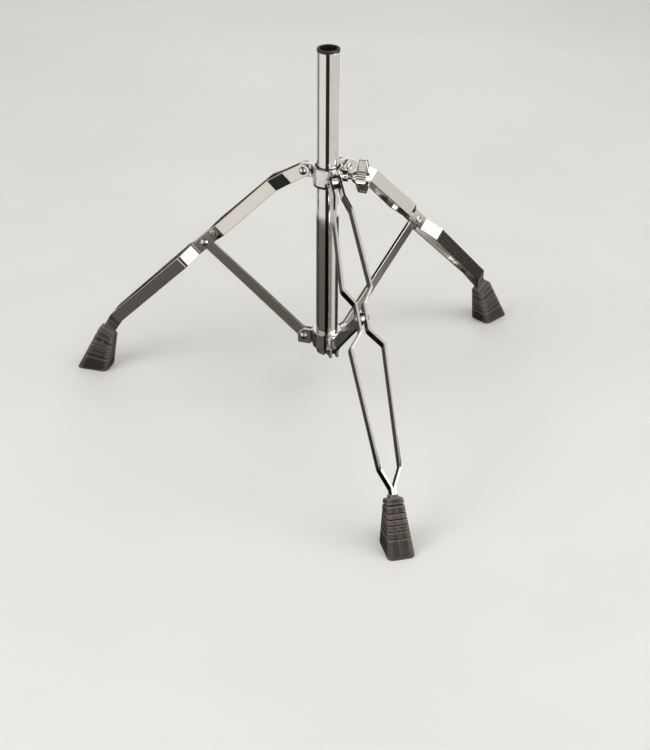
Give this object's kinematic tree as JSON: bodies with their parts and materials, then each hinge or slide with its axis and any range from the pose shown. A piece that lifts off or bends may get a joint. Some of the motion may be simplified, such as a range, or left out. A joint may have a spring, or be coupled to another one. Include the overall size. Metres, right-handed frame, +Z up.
{
  "type": "folding tripod base",
  "caption": "Chromed upright tube on folding double-strap legs with rubber feet, tied by braces to a fixed collar and clamped by a wing nut on the sliding collar.",
  "frame": {"origin": "on the floor, under the middle of the footprint with the legs at rest", "axes": "+Z up along the tube, -Y along the front leg, +X towards the right leg's side; the tube's axis is 74.6 mm behind the origin, at +Y"},
  "size_m": [0.5648, 0.4908, 0.443],
  "materials": {
    "chrome_tube": "polished chrome plate on drawn steel tube",
    "chrome_strap": "bright chrome plate over lightly grained steel strap",
    "chrome_casting": "chrome plate on die-cast zinc, slightly wavy",
    "plated_steel": "plated steel, duller than the straps",
    "black_nylon": "satin moulded nylon",
    "foot_rubber": "matt moulded rubber"
  },
  "bodies": {
    "root": {"base_tube": "chrome_tube", "tube_end_plug": "chrome_tube", "tube_top_bushing": "black_nylon", "lower_collar": "chrome_casting", "lower_collar_screw": "plated_steel", "right_lower_rivet": "plated_steel", "left_lower_rivet": "plated_steel", "front_lower_rivet": "plated_steel"},
    "sliding_collar": {"upper_collar": "chrome_casting", "collar_liner": "black_nylon"},
    "clamp_shoe": {"clamp_shoe": "black_nylon"},
    "wing_nut": {"wing_nut": "chrome_casting", "clamp_screw": "plated_steel"},
    "right_brace": {"right_brace": "chrome_strap"},
    "right_leg": {"right_strap_a": "chrome_strap", "right_strap_b": "chrome_strap", "right_upper_rivet": "plated_steel", "right_mid_rivet": "plated_steel", "right_mid_washers": "plated_steel", "right_toe_rivet": "plated_steel", "right_foot": "foot_rubber"},
    "left_brace": {"left_brace": "chrome_strap"},
    "left_leg": {"left_strap_a": "chrome_strap", "left_strap_b": "chrome_strap", "left_upper_rivet": "plated_steel", "left_mid_rivet": "plated_steel", "left_mid_washers": "plated_steel", "left_toe_rivet": "plated_steel", "left_foot": "foot_rubber"},
    "front_brace": {"front_brace": "chrome_strap"},
    "front_leg": {"front_strap_a": "chrome_strap", "front_strap_b": "chrome_strap", "front_upper_rivet": "plated_steel", "front_mid_rivet": "plated_steel", "front_mid_washers": "plated_steel", "front_toe_rivet": "plated_steel", "front_foot": "foot_rubber"}
  },
  "joints": [
    {"name": "leg_fold", "type": "hinge", "parent": "root", "child": "front_brace", "pos_m": [0, 0.0476, 0.0885], "axis": [-1, 0, 0], "range_deg": [-15, 41]},
    {"name": "front_mid_pivot", "type": "hinge", "parent": "front_brace", "child": "front_leg", "pos_m": [0, -0.0729, 0.19451], "axis": [-1, 0, 0], "range_deg": [-82, 30]},
    {"name": "front_upper_pivot", "type": "hinge", "parent": "front_leg", "child": "sliding_collar", "pos_m": [0, 0.0476, 0.30053], "axis": [-1, 0, 0], "range_deg": [-15, 41]},
    {"name": "left_upper_pivot", "type": "hinge", "parent": "sliding_collar", "child": "left_leg", "pos_m": [-0.02338, 0.0881, 0.30053], "axis": [0.5, 0.866, 0], "range_deg": [-41, 15]},
    {"name": "left_lower_pivot", "type": "hinge", "parent": "root", "child": "left_brace", "pos_m": [-0.02338, 0.0881, 0.0885], "axis": [0.5, 0.866, 0], "range_deg": [-15, 41]},
    {"name": "right_upper_pivot", "type": "hinge", "parent": "sliding_collar", "child": "right_leg", "pos_m": [0.02338, 0.0881, 0.30053], "axis": [0.5, -0.866, 0], "range_deg": [-41, 15]},
    {"name": "right_lower_pivot", "type": "hinge", "parent": "root", "child": "right_brace", "pos_m": [0.02338, 0.0881, 0.0885], "axis": [0.5, -0.866, 0], "range_deg": [-15, 41]},
    {"name": "shoe_travel", "type": "slide", "parent": "sliding_collar", "child": "clamp_shoe", "axis": [0.866, -0.5, 0], "range_m": [0, 0.00156]},
    {"name": "wing_turn", "type": "hinge", "parent": "clamp_shoe", "child": "wing_nut", "pos_m": [0.03464, 0.0546, 0.29803], "axis": [0.866, -0.5, 0], "range_deg": [0, 451]}
  ],
  "couplings": [
    {"joint": "front_mid_pivot", "follows": "leg_fold", "ratio": -2},
    {"joint": "front_upper_pivot", "follows": "leg_fold", "ratio": 1},
    {"joint": "left_upper_pivot", "follows": "leg_fold", "ratio": -1},
    {"joint": "left_lower_pivot", "follows": "leg_fold", "ratio": 1},
    {"joint": "right_upper_pivot", "follows": "leg_fold", "ratio": -1},
    {"joint": "right_lower_pivot", "follows": "leg_fold", "ratio": 1},
    {"joint": "wing_turn", "follows": "shoe_travel", "rad_per_m": 5026.5}
  ]
}
